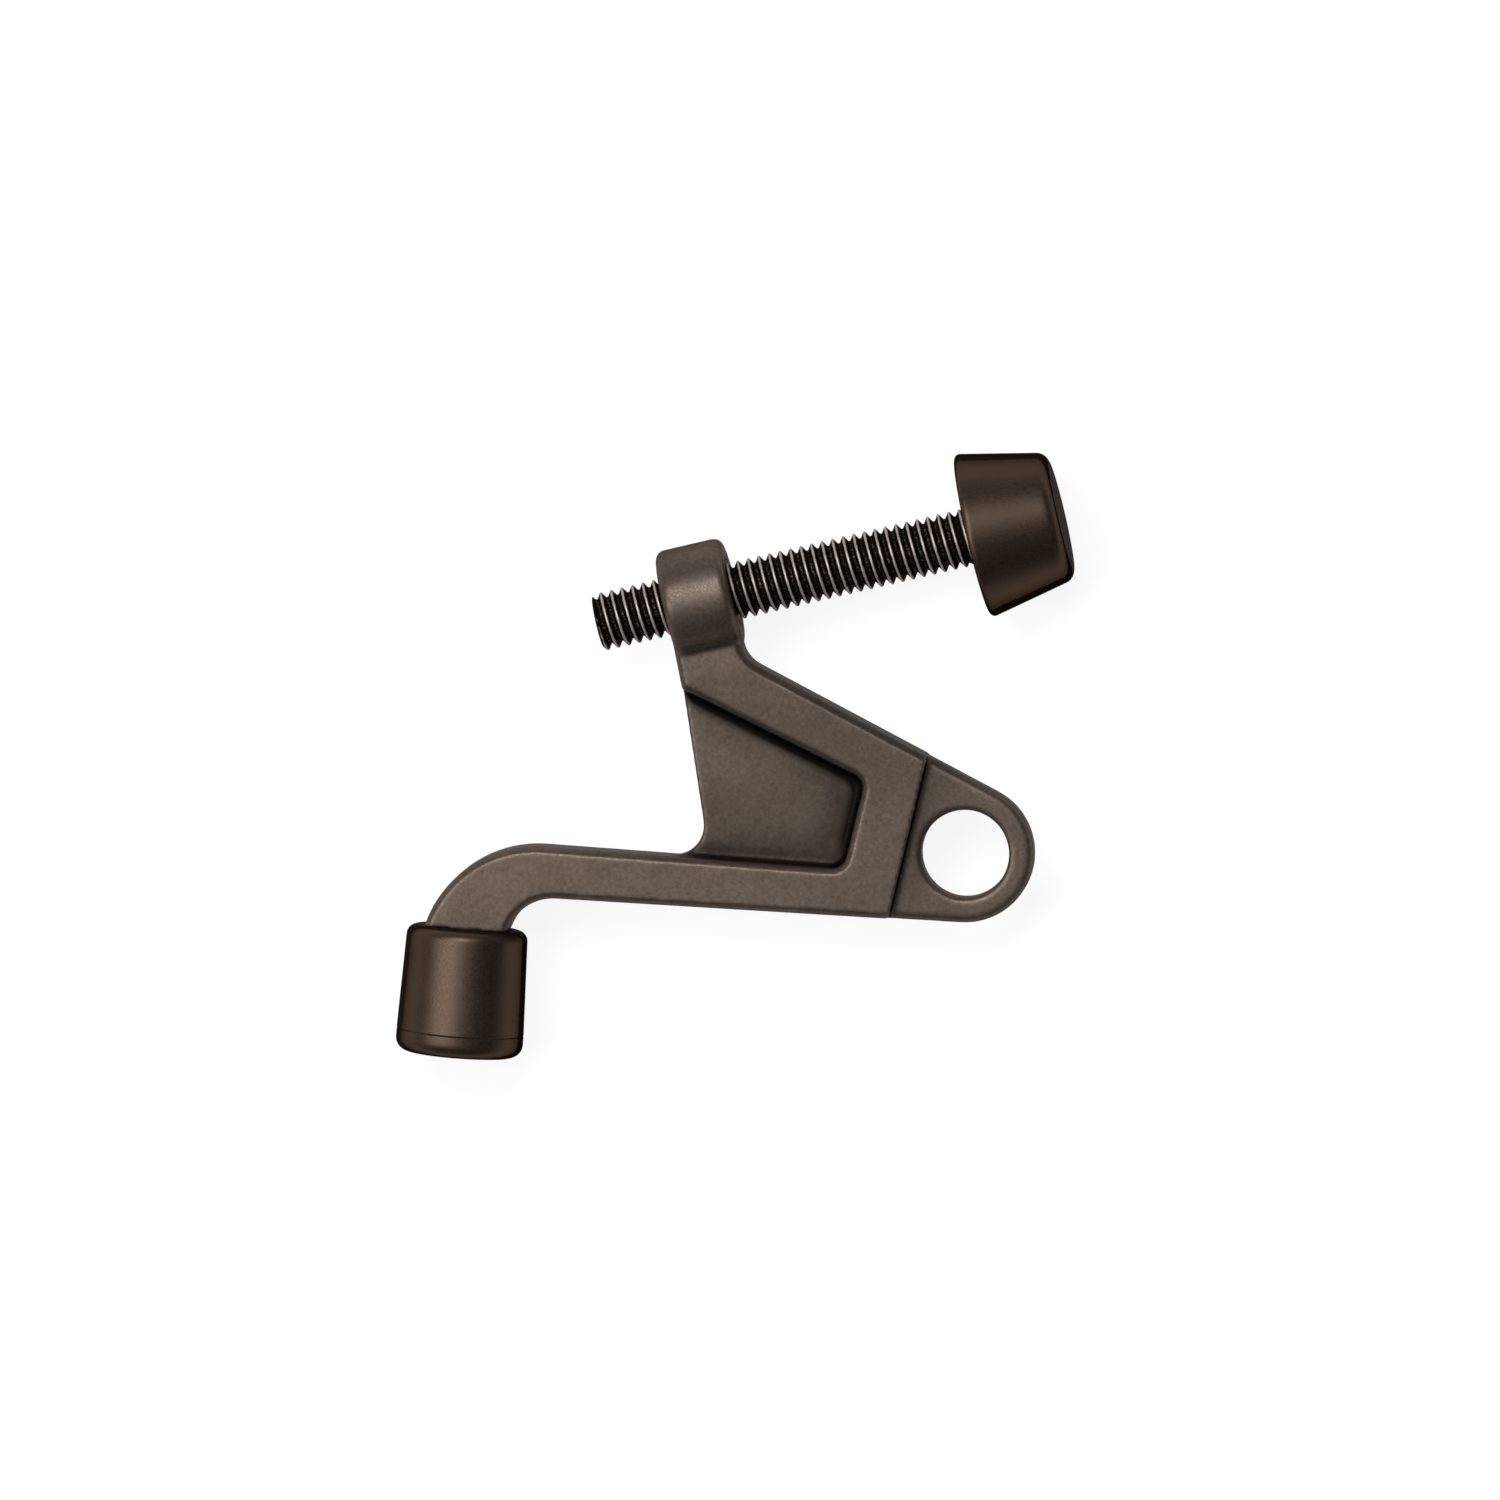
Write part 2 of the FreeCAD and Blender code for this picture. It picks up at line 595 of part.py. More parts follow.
def main():
    """Builds the pieces and writes one STEP file for each."""
    bodies = [make_casting(), make_screw(), make_bumper(), make_tip()]
    doc.recompute()
    check(bodies)
    os.makedirs("parts", exist_ok=True)
    for body in bodies:
        body.Shape.exportStep(f"parts/{body.Label}.step")
        print(body.Label, round(body.Shape.Volume, 2), "mm3")


main()
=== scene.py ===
"""Hinge pin door stop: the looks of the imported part, laid out as an add-on.

All lengths are in metres, in the part's own frame: the origin is the centre of the hinge pin's bore, +Z runs
along the bore, and the screw points to +X.
"""

import json
import math

import bmesh
import bpy
import numpy as np
from bpy.props import FloatProperty, FloatVectorProperty, IntProperty, PointerProperty
from mathutils import Matrix, Vector


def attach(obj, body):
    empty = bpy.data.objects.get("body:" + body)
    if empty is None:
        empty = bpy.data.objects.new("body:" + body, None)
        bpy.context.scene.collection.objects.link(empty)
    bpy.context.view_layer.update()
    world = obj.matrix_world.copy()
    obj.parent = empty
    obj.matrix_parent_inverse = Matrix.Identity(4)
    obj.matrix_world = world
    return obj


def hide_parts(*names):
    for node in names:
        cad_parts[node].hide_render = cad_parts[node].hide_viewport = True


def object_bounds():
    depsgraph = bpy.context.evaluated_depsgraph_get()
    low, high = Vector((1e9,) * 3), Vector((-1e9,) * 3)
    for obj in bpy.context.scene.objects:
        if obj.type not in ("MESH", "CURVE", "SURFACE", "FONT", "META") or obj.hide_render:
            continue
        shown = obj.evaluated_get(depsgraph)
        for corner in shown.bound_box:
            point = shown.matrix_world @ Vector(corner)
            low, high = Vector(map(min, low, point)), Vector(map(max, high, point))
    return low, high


bl_info = {
    "name": "Hinge Pin Door Stop",
    "version": (1, 0, 0),
    "blender": (4, 5, 0),
    "location": "3D View > Sidebar > Door Stop",
    "description": "Dresses the door stop's packed parts with their cast, threaded and moulded surfaces",
    "category": "Add Mesh",
}

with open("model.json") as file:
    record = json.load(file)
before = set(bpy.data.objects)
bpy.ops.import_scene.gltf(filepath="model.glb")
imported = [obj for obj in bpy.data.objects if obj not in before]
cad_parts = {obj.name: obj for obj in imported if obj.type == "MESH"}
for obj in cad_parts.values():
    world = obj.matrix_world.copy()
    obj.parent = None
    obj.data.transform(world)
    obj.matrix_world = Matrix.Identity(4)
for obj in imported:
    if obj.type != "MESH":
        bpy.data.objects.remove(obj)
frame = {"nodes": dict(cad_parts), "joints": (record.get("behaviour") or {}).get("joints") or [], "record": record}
CAD_BOX = [list(corner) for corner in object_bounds()]

MM = 0.001
TURN = 2 * math.pi
# The boss's rear and front faces along the screw from the screw joint's place, and its radius
BOSS = (-20.8 * MM, -14.75 * MM, 4.95 * MM)
# The step between the frame and the eye, along which a painted shadow line runs: the direction across it, and how far
# from the bore it stands
STEP = (math.radians(-13.4), -5.2 * MM)

# Sizes and finishes that a user may change


def linear(hex_text):
    """The linear RGBA of an sRGB hex colour."""
    parts = [int(hex_text[i:i + 2], 16) / 255 for i in (1, 3, 5)]
    return tuple(c / 12.92 if c <= 0.04045 else ((c + 0.055) / 1.055) ** 2.4 for c in parts) + (1.0,)


def colour(name, description, hex_text):
    """A colour property whose default is an sRGB hex colour."""
    return FloatVectorProperty(
        name=name, description=description, subtype="COLOR", size=4, min=0, max=1, default=linear(hex_text)
    )


def length(name, description, millimetres):
    """A length property, given in millimetres and kept in metres."""
    return FloatProperty(name=name, description=description, unit="LENGTH", precision=6, default=millimetres * MM)


class DOORSTOP_PG_sizes(bpy.types.PropertyGroup):
    """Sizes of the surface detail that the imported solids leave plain."""

    skin_voxel: length("Cast skin", "Grain of the cast skin's mesh", 0.2)
    skin_passes: IntProperty(name="Softness", description="Smoothing passes over the cast edges", default=5)
    thread_pitch: length("Thread pitch", "One turn of the screw", 0.96)
    thread_depth: length("Thread depth", "From the thread's crest to its root", 0.52)
    boss_rounding: length("Boss rounding", "Rounding of the boss's two ends", 0.8)
    thread_facets: IntProperty(name="Thread facets", description="Facets round the screw and in each turn", default=40)
    rubber_facets: IntProperty(name="Rubber facets", description="Facets round each rubber piece", default=128)


class DOORSTOP_PG_finishes(bpy.types.PropertyGroup):
    """Colours of the finishes."""

    bronze: colour("Bronze", "Oil-rubbed bronze on the flats", "#655A51")
    # Also the colour of the painted shade in the corners and of the painted shadow line at the eye's step
    patina_and_shade: colour("Patina", "Dark oil left in the corners", "#120D0A")
    rubbed: colour("Rubbed edge", "Bronze rubbed brighter along the edges", "#8A7A6E")
    crest: colour("Thread crest", "Worn copper colour on the crests", "#CBB9AC")
    flank: colour("Thread flank", "Black oxide on the flanks", "#1A1210")
    groove: colour("Thread groove", "Oily dirt in the grooves", "#1E1A14")
    rubber: colour("Rubber", "Brown-black rubber with a bronze pigment", "#53463C")


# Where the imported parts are


def places_of(mesh):
    """Places of a mesh's vertices, one row each."""
    places = np.empty(len(mesh.vertices) * 3, np.float32)
    mesh.vertices.foreach_get("co", places)
    return places.reshape(-1, 3).astype(float)


class Line:
    """An axis of turning: a point on it, its direction, and two directions across it."""

    def __init__(self, point, direction):
        self.axis = np.array(direction, float) / np.linalg.norm(direction)
        self.point = np.array(point, float)
        self.up = np.array((0.0, 0.0, 1.0))
        self.side = np.cross(self.up, self.axis)

    def span(self, node, front=math.inf):
        """A CAD node's lowest and highest place along the axis, and its radius, up to the given place."""
        along, away = self.measure(places_of(frame["nodes"][node].data))
        return along.min(), along.max(), away[along < front].max()

    def measure(self, places):
        """How far along the axis each place is, and how far away from it."""
        offset = places - self.point
        along = offset @ self.axis
        return along, np.linalg.norm(offset - np.outer(along, self.axis), axis=1)


def screw_line():
    """The screw's axis, from the joint that turns it."""
    joint = next(j for j in frame["joints"] if j["type"] == "hinge")
    return Line(joint["pos_m"], joint["axis"])


def foot_line():
    """The foot's axis, which runs up through the tip from the middle of its sole."""
    sole = next(m for m in frame["record"]["mounts"] if m["name"] == "foot_face")
    return Line(sole["pos_m"], [-part for part in sole["axis"]])


# Meshes


def show(name, mesh, material, body, node):
    """Makes a finished piece from its mesh: it replaces the CAD node and rides on the node's body."""
    piece = bpy.data.objects.new(name, mesh)
    bpy.context.scene.collection.objects.link(piece)
    mesh.materials.clear()
    mesh.materials.append(material)
    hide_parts(node)
    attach(piece, body)
    return piece


def turned_mesh(name, line, along, radius, facets, sharp=30, ring=False):
    """A closed turned surface: point(u, v) = start + along(u) axis + radius(u, v) (side cos v + up sin v).

    The radius has a row for each step along the profile and a column for each facet round it, or one number
    a row where the piece is round. Both ends are closed on the axis, except on a ring, whose profile ends
    where it starts. Quads are split along the diagonal that climbs one step for each facet, so a thread with
    as many steps in a turn as facets keeps a clean crest.
    """
    along = np.asarray(along, float)
    rows = len(along)
    radius = np.broadcast_to(np.asarray(radius, float).reshape(rows, -1), (rows, facets))
    turn = np.arange(facets) * TURN / facets
    across = np.outer(np.cos(turn), line.side) + np.outer(np.sin(turn), line.up)
    rings = line.point + along[:, None, None] * line.axis + radius[:, :, None] * across
    step, facet = np.meshgrid(np.arange(rows - 1), np.arange(facets), indexing="ij")
    after = (facet + 1) % facets
    a, b = step * facets + facet, step * facets + after
    c, d = a + facets, b + facets
    skin = np.concatenate([np.stack([a, b, d], -1).reshape(-1, 3), np.stack([a, d, c], -1).reshape(-1, 3)])
    if ring:
        return mesh_of(name, rings.reshape(-1, 3), skin)
    places = np.vstack([rings.reshape(-1, 3), line.point + np.outer(along[[0, -1]], line.axis)])
    first, following = np.arange(facets), (np.arange(facets) + 1) % facets
    last = (rows - 1) * facets
    start_cap = np.stack([following, first, np.full(facets, rows * facets)], -1)
    end_cap = np.stack([last + first, last + following, np.full(facets, rows * facets + 1)], -1)
    mesh = mesh_of(name, places, np.concatenate([skin, start_cap, end_cap]))
    mesh.set_sharp_from_angle(angle=math.radians(sharp))
    return mesh


def mesh_of(name, places, triangles):
    """A smooth-shaded mesh of triangles from whole arrays."""
    mesh = bpy.data.meshes.new(name)
    mesh.vertices.add(len(places))
    mesh.vertices.foreach_set("co", places.astype(np.float32).ravel())
    mesh.loops.add(triangles.size)
    mesh.loops.foreach_set("vertex_index", triangles.astype(np.int32).ravel())
    mesh.polygons.add(len(triangles))
    mesh.polygons.foreach_set("loop_start", np.arange(0, triangles.size, 3, dtype=np.int32))
    mesh.polygons.foreach_set("use_smooth", np.ones(len(triangles), bool))
    mesh.update(calc_edges=True)
    mesh.validate()
    return mesh


def paint(mesh, name, values):
    """Keeps one number for each vertex, for a material to read."""
    mesh.attributes.new(name, "FLOAT", "POINT").data.foreach_set("value", values.astype(np.float32))


def rounded_profile(corners, step):
    """A profile through corners of (along, radius, rounding), in metres, each rounded by an arc of eight steps.

    Straight runs are divided so that no step is longer than the given one.
    """
    points = np.array([corner[:2] for corner in corners], float)
    path = [points[0]]
    for k in range(1, len(corners) - 1):
        before, here, after, size = points[k - 1], points[k], points[k + 1], corners[k][2]
        if size == 0:
            path.append(here)
            continue
        inward, outward = (before - here), (after - here)
        inward, outward = inward / np.linalg.norm(inward), outward / np.linalg.norm(outward)
        half = math.acos(np.clip(inward @ outward, -1, 1)) / 2
        bisector = (inward + outward) / np.linalg.norm(inward + outward)
        centre = here + bisector * size / math.sin(half)
        first, last = here + inward * size / math.tan(half), here + outward * size / math.tan(half)
        share = np.linspace(0, 1, 9)[:, None]
        angle = math.pi - 2 * half
        arc = (np.sin((1 - share) * angle) * (first - centre) + np.sin(share * angle) * (last - centre)) / math.sin(angle)
        path.extend(centre + arc)
    path.append(points[-1])
    path = np.array(path)
    runs = np.linalg.norm(np.diff(path, axis=0), axis=1)
    pieces = [
        path[k] + (path[k + 1] - path[k]) * np.linspace(0, 1, max(1, math.ceil(run / step)), endpoint=False)[:, None]
        for k, run in enumerate(runs)
    ]
    return np.vstack(pieces + [path[-1:]])


def cast_skin(node, added, voxel, passes):
    """A CAD node's merged mesh and a mesh added to it, remade as one skin of small even quads and smoothed."""
    mesh = frame["nodes"][node].data.copy()
    work = bmesh.new()
    work.from_mesh(mesh)
    work.from_mesh(added)
    bmesh.ops.remove_doubles(work, verts=work.verts, dist=1e-7)
    work.to_mesh(mesh)
    work.free()
    form = bpy.data.objects.new("cast_form", mesh)
    bpy.context.scene.collection.objects.link(form)
    remesh = form.modifiers.new("even_quads", "REMESH")
    remesh.mode = "VOXEL"
    remesh.voxel_size = voxel
    smooth = form.modifiers.new("soft_edges", "SMOOTH")
    smooth.factor = 0.5
    smooth.iterations = passes
    view = bpy.context.evaluated_depsgraph_get()
    skin = bpy.data.meshes.new_from_object(form.evaluated_get(view))
    bpy.data.objects.remove(form)
    if len(skin.vertices) < 1000:
        raise RuntimeError(f"the cast skin of {node} came out empty")
    skin.polygons.foreach_set("use_smooth", np.ones(len(skin.polygons), bool))
    return skin


def neighbours_mean(mesh):
    """A function that gives, for any numbers kept at the vertices, the mean over each vertex's neighbours."""
    edges = np.empty(len(mesh.edges) * 2, np.int32)
    mesh.edges.foreach_get("vertices", edges)
    start, end = edges.reshape(-1, 2).T
    size = len(mesh.vertices)
    count = np.maximum(np.bincount(start, minlength=size) + np.bincount(end, minlength=size), 1)

    def mean(values):
        return (np.bincount(start, values[end], size) + np.bincount(end, values[start], size)) / count

    return mean


def spread(mean, values, passes):
    """The values averaged half and half with their neighbours' mean, as many times as given."""
    for _ in range(passes):
        values = (values + mean(values)) / 2
    return values


def weathering_and_shade(mesh, line, voxel):
    """Where oil patina and painted shade stay in the corners, where handling has rubbed the edges, and how much
    painted shade dims the skin.

    A vertex is hollow by how far its neighbours' mean stands out along its normal, over the voxel. The oil patina
    and painted shade is that hollowness spread widely in the recess, less so along the arm, and thinly under the
    boss, each over its own 99th percentile. The painted shade is the same spread over 3 mm, on what lies below the
    frame's flats. It is stronger on the web where the web comes down to the arm, and it grows upward over the sloping
    bar.
    on the web where it comes down to the arm, and on the sloping bar, which is handled less than the arm.
    """
    places = places_of(mesh)
    normals = np.empty(len(mesh.vertices) * 3, np.float32)
    mesh.vertex_normals.foreach_get("vector", normals)
    normals = normals.reshape(-1, 3)
    mean = neighbours_mean(mesh)
    around = np.stack([mean(places[:, k]) for k in range(3)], -1)
    hollow = np.einsum("ij,ij->i", around - places, normals) / voxel
    corners = np.maximum(hollow, 0)
    from_bore = np.hypot(places[:, 0], places[:, 1])
    from_screw = line.measure(places)[1]

    def share(passes, where):
        """The hollowness, spread and over its 99th percentile, where it applies."""
        values = spread(mean, corners, passes)
        return where * values / np.percentile(values, 99)

    at_eye = np.clip((9.8 * MM - from_bore) / (0.6 * MM), 0, 1)
    at_boss = np.clip((7.5 * MM - from_screw) / (1.0 * MM), 0, 1)
    at_arm = np.clip((1.2 * MM - places[:, 1]) / (1.5 * MM), 0, 1)
    # Oil patina in the corners, together with painted shade in the recess and under the boss
    oil_and_shade = share(20, (1 - at_eye) * (1 - at_boss) * (1 - 0.55 * at_arm)) + share(2, 0.3 * at_boss)
    level = np.abs(places[:, 2])
    web = np.clip((1.5 * MM - level) / (0.4 * MM), 0, 1) * np.abs(normals[:, 2])
    # Painted shade on the web, darker where it comes down to the arm
    painted_web_shade = web * np.clip((9.0 * MM - places[:, 1]) / (4.0 * MM), 0, 1)
    # Painted shade: the hollowness spread over about 3 mm, below the frame's flats
    painted_shade = spread(mean, corners, 300) * np.clip((2.3 * MM - level) / (1.0 * MM), 0, 1)
    # Painted shade on the frame outside the web and the boss, darker upward towards the sloping bar
    painted_bar_shade = (1 - web) * (1 - at_boss) * np.clip((places[:, 1] - 1.0 * MM) / (9.0 * MM), 0, 1)
    painted_shade = 0.85 * painted_shade / np.percentile(painted_shade, 99) + 0.42 * painted_web_shade + 0.40 * painted_bar_shade
    return oil_and_shade, spread(mean, -hollow, 2), painted_shade


# Materials


def node(tree, kind, inputs=None, **settings):
    """Adds a node with its settings, and gives each named or numbered input a value or a link."""
    made = tree.nodes.new(kind)
    for name, value in settings.items():
        setattr(made, name, value)
    for key, value in (inputs or {}).items():
        if isinstance(value, bpy.types.NodeSocket):
            tree.links.new(value, made.inputs[key])
        else:
            made.inputs[key].default_value = value
    return made


def blank_material(name):
    """A node material with its output node alone."""
    material = bpy.data.materials.new(name)
    material.use_nodes = True
    tree = material.node_tree
    tree.nodes.clear()
    return material, tree, tree.nodes.new("ShaderNodeOutputMaterial")


def per_metre(millimetres):
    """A noise scale whose cells are about this many millimetres across."""
    return 1 / (millimetres * MM)


def painted_step_shadow(tree, place):
    """The painted shadow in the foot of the eye's step: a line 0.2 mm wide, only below the frame's flats."""
    lean, distance = STEP
    across = node(tree, "ShaderNodeVectorMath", {0: place, 1: (math.cos(lean), math.sin(lean), 0)},
                  operation="DOT_PRODUCT")
    off = node(tree, "ShaderNodeMath", {0: across.outputs["Value"], 1: distance + 0.06 * MM}, operation="SUBTRACT")
    off = node(tree, "ShaderNodeMath", {0: off.outputs[0]}, operation="ABSOLUTE")
    line = node(tree, "ShaderNodeMapRange", {0: off.outputs[0], 1: 0.04 * MM, 2: 0.15 * MM, 3: 0.80, 4: 0.0})
    level = node(tree, "ShaderNodeSeparateXYZ", {0: place})
    level = node(tree, "ShaderNodeMath", {0: level.outputs["Z"]}, operation="ABSOLUTE")
    above = node(tree, "ShaderNodeMapRange", {0: level.outputs[0], 1: 1.4 * MM, 2: 1.6 * MM, 3: 0.0, 4: 1.0})
    below = node(tree, "ShaderNodeMapRange", {0: level.outputs[0], 1: 2.3 * MM, 2: 2.5 * MM, 3: 1.0, 4: 0.0})
    band = node(tree, "ShaderNodeMath", {0: above.outputs[0], 1: below.outputs[0]}, operation="MULTIPLY")
    return node(tree, "ShaderNodeMath", {0: line.outputs[0], 1: band.outputs[0]}, operation="MULTIPLY").outputs[0]


def oil_rubbed_bronze(finishes):
    """Zinc casting, plated and oil-rubbed: a satin brown skin with the faint grain of the die.

    Dark oil patina and painted shade stay in the corners, a painted shadow line runs at the foot of the eye's step,
    painted shade dims the recess, the web and the sloping bar, and handling has rubbed the outer edges a little
    brighter.
    """
    material, tree, output = blank_material("oil_rubbed_bronze_casting")
    place = node(tree, "ShaderNodeTexCoord").outputs["Object"]
    # Attributes: oil patina with painted shade in the corners, rubbed edges, and painted shade
    oil_and_shade, rubbed, painted_shade = (
        node(tree, "ShaderNodeAttribute", attribute_name=name).outputs["Fac"] for name in ("oil_and_shade", "rubbed", "painted_shade")
    )
    # Die grain of about 0.35 mm, and clouds of plating colour of about 4 mm
    grain = node(tree, "ShaderNodeTexNoise", {"Vector": place, "Scale": per_metre(0.35), "Detail": 3.0, "Roughness": 0.6})
    cloud = node(tree, "ShaderNodeTexNoise", {"Vector": place, "Scale": per_metre(4.0), "Detail": 2.0, "Roughness": 0.5})
    tone = node(tree, "ShaderNodeMapRange", {0: cloud.outputs["Fac"], 1: 0.3, 2: 0.7, 3: 0.90, 4: 1.08})
    speck = node(tree, "ShaderNodeMapRange", {0: grain.outputs["Fac"], 1: 0.3, 2: 0.7, 3: 0.82, 4: 1.18})
    shade = node(tree, "ShaderNodeMath", {0: tone.outputs[0], 1: speck.outputs[0]}, operation="MULTIPLY")
    # Painted shade: the bronze dimmed in the recess, on the web towards the arm and over the sloping bar
    painted_dimming = node(tree, "ShaderNodeMapRange", {0: painted_shade, 1: 0.1, 2: 1.0, 3: 1.0, 4: 0.42})
    shade = node(tree, "ShaderNodeMath", {0: shade.outputs[0], 1: painted_dimming.outputs[0]}, operation="MULTIPLY")
    bronze = node(tree, "ShaderNodeMix", {0: 1.0, 6: tuple(finishes.bronze), 7: shade.outputs[0]},
                  data_type="RGBA", blend_type="MULTIPLY")
    edge = node(tree, "ShaderNodeMapRange", {0: rubbed, 1: 0.03, 2: 0.12, 3: 0.0, 4: 0.25})
    worn = node(tree, "ShaderNodeMix", {0: edge.outputs[0], 6: bronze.outputs[2], 7: tuple(finishes.rubbed)},
                data_type="RGBA")
    # Oil patina and painted shade in the corners, and the painted shadow line at the eye's step, in the patina colour
    corner = node(tree, "ShaderNodeMapRange", {0: oil_and_shade, 1: 0.05, 2: 0.55, 3: 0.0, 4: 0.97})
    corner = node(tree, "ShaderNodeMath", {0: corner.outputs[0], 1: painted_step_shadow(tree, place)}, operation="MAXIMUM")
    oiled_and_shaded = node(tree, "ShaderNodeMix", {0: corner.outputs[0], 6: worn.outputs[2], 7: tuple(finishes.patina_and_shade)},
                 data_type="RGBA")
    # Bright specks of about 0.15 mm, where the die's skin lies flat to the light
    glint = node(tree, "ShaderNodeTexNoise", {"Vector": place, "Scale": per_metre(0.15), "Detail": 1.0})
    rough = node(tree, "ShaderNodeMapRange", {0: glint.outputs["Fac"], 1: 0.52, 2: 0.68, 3: 0.48, 4: 0.34})
    bump = node(tree, "ShaderNodeBump", {"Height": grain.outputs["Fac"], "Strength": 0.25, "Distance": 0.03 * MM})
    skin = node(tree, "ShaderNodeBsdfPrincipled", {
        "Base Color": oiled_and_shaded.outputs[2], "Roughness": rough.outputs[0], "Metallic": 0.7,
        "Specular IOR Level": 0.2, "Specular Tint": linear("#705C4E"), "Normal": bump.outputs[0],
    })
    tree.links.new(skin.outputs[0], output.inputs["Surface"])
    return material


def threaded_bronze(finishes):
    """Rolled steel thread, blackened and worn: copper-brown glints on the crests, oil and dirt in the grooves."""
    material, tree, output = blank_material("blackened_thread_steel")
    place = node(tree, "ShaderNodeTexCoord").outputs["Object"]
    height = node(tree, "ShaderNodeAttribute", attribute_name="height").outputs["Fac"]
    # Worn glints of about 0.5 mm along the crests, and crumbs of dirt of about 0.15 mm in the grooves
    glint = node(tree, "ShaderNodeTexNoise", {"Vector": place, "Scale": per_metre(0.5), "Detail": 3.0, "Roughness": 0.6})
    dirt = node(tree, "ShaderNodeTexNoise", {"Vector": place, "Scale": per_metre(0.22), "Detail": 2.0, "Roughness": 0.5})
    wear = node(tree, "ShaderNodeMapRange", {0: glint.outputs["Fac"], 1: 0.3, 2: 0.7, 3: -0.10, 4: 0.10})
    reach = node(tree, "ShaderNodeMath", {0: height, 1: wear.outputs[0]}, operation="ADD")
    crest = node(tree, "ShaderNodeMapRange", {0: reach.outputs[0], 1: 0.76, 2: 0.97, 3: 0.0, 4: 1.0},
                 interpolation_type="SMOOTHSTEP")
    crumbs = node(tree, "ShaderNodeMapRange", {0: dirt.outputs["Fac"], 1: 0.53, 2: 0.68, 3: 0.0, 4: 0.6})
    groove = node(tree, "ShaderNodeMix", {0: crumbs.outputs[0], 6: tuple(finishes.groove), 7: linear("#7E7868")},
                  data_type="RGBA")
    side = node(tree, "ShaderNodeMapRange", {0: reach.outputs[0], 1: 0.05, 2: 0.30, 3: 0.0, 4: 1.0})
    brown = node(tree, "ShaderNodeMix", {0: side.outputs[0], 6: groove.outputs[2], 7: tuple(finishes.flank)},
                 data_type="RGBA")
    metal = node(tree, "ShaderNodeMix", {0: crest.outputs[0], 6: brown.outputs[2], 7: tuple(finishes.crest)},
                 data_type="RGBA")
    rough = node(tree, "ShaderNodeMapRange", {0: crest.outputs[0], 1: 0.0, 2: 1.0, 3: 0.62, 4: 0.52})
    skin = node(tree, "ShaderNodeBsdfPrincipled", {
        "Base Color": metal.outputs[2], "Roughness": rough.outputs[0], "Metallic": 0.6,
        "Specular IOR Level": 0.05, "Specular Tint": linear("#302820"),
    })
    tree.links.new(skin.outputs[0], output.inputs["Surface"])
    return material


def moulded_rubber(finishes, name):
    """Moulded rubber with a bronze pigment: black at the sides, with a soft brown metallic sheen to the light."""
    material, tree, output = blank_material(name)
    place = node(tree, "ShaderNodeTexCoord").outputs["Object"]
    # Mould grain of about 0.15 mm, mostly in the gloss and faint in the colour and the relief, so that the dark
    # sides keep a clean border, and slow smears of about 3 mm where it has been handled
    grain = node(tree, "ShaderNodeTexNoise", {"Vector": place, "Scale": per_metre(0.15), "Detail": 2.0, "Roughness": 0.5})
    smear = node(tree, "ShaderNodeTexNoise", {"Vector": place, "Scale": per_metre(3.0), "Detail": 2.0, "Roughness": 0.5})
    speck = node(tree, "ShaderNodeMapRange", {0: grain.outputs["Fac"], 1: 0.3, 2: 0.7, 3: 0.92, 4: 1.08})
    tone = node(tree, "ShaderNodeMapRange", {0: smear.outputs["Fac"], 1: 0.3, 2: 0.7, 3: 0.96, 4: 1.04})
    shade = node(tree, "ShaderNodeMath", {0: speck.outputs[0], 1: tone.outputs[0]}, operation="MULTIPLY")
    rubber = node(tree, "ShaderNodeMix", {0: 1.0, 6: tuple(finishes.rubber), 7: shade.outputs[0]},
                  data_type="RGBA", blend_type="MULTIPLY")
    rough = node(tree, "ShaderNodeMapRange", {0: grain.outputs["Fac"], 1: 0.3, 2: 0.7, 3: 0.36, 4: 0.52})
    bump = node(tree, "ShaderNodeBump", {"Height": grain.outputs["Fac"], "Strength": 0.04, "Distance": 0.02 * MM})
    skin = node(tree, "ShaderNodeBsdfPrincipled", {
        "Base Color": rubber.outputs[2], "Roughness": rough.outputs[0], "Metallic": 0.9,
        "Specular IOR Level": 0.0, "Specular Tint": linear("#2A1E16"), "Normal": bump.outputs[0],
    })
    tree.links.new(skin.outputs[0], output.inputs["Surface"])
    return material


def pale_floor():
    """Matt white paper: white to the eye and in reflections, and pale to the light that falls on it."""
    material, tree, output = blank_material("white_paper_floor")
    path = node(tree, "ShaderNodeLightPath").outputs
    seen = node(tree, "ShaderNodeMath", {0: path["Is Camera Ray"], 1: path["Is Glossy Ray"]}, operation="MAXIMUM")
    seen = node(tree, "ShaderNodeMath", {0: seen.outputs[0], 1: path["Is Transmission Ray"]}, operation="MAXIMUM")
    paper = node(tree, "ShaderNodeBsdfDiffuse", {"Color": (0.20, 0.20, 0.20, 1)})
    glow = node(tree, "ShaderNodeMath", {0: seen.outputs[0], 1: 0.90}, operation="MULTIPLY")
    white = node(tree, "ShaderNodeEmission", {"Color": (1, 1, 1, 1), "Strength": glow.outputs[0]})
    both = node(tree, "ShaderNodeAddShader", {0: paper.outputs[0], 1: white.outputs[0]})
    tree.links.new(both.outputs[0], output.inputs["Surface"])
    return material


# Operators, one for each piece or group of like pieces and one for the stage


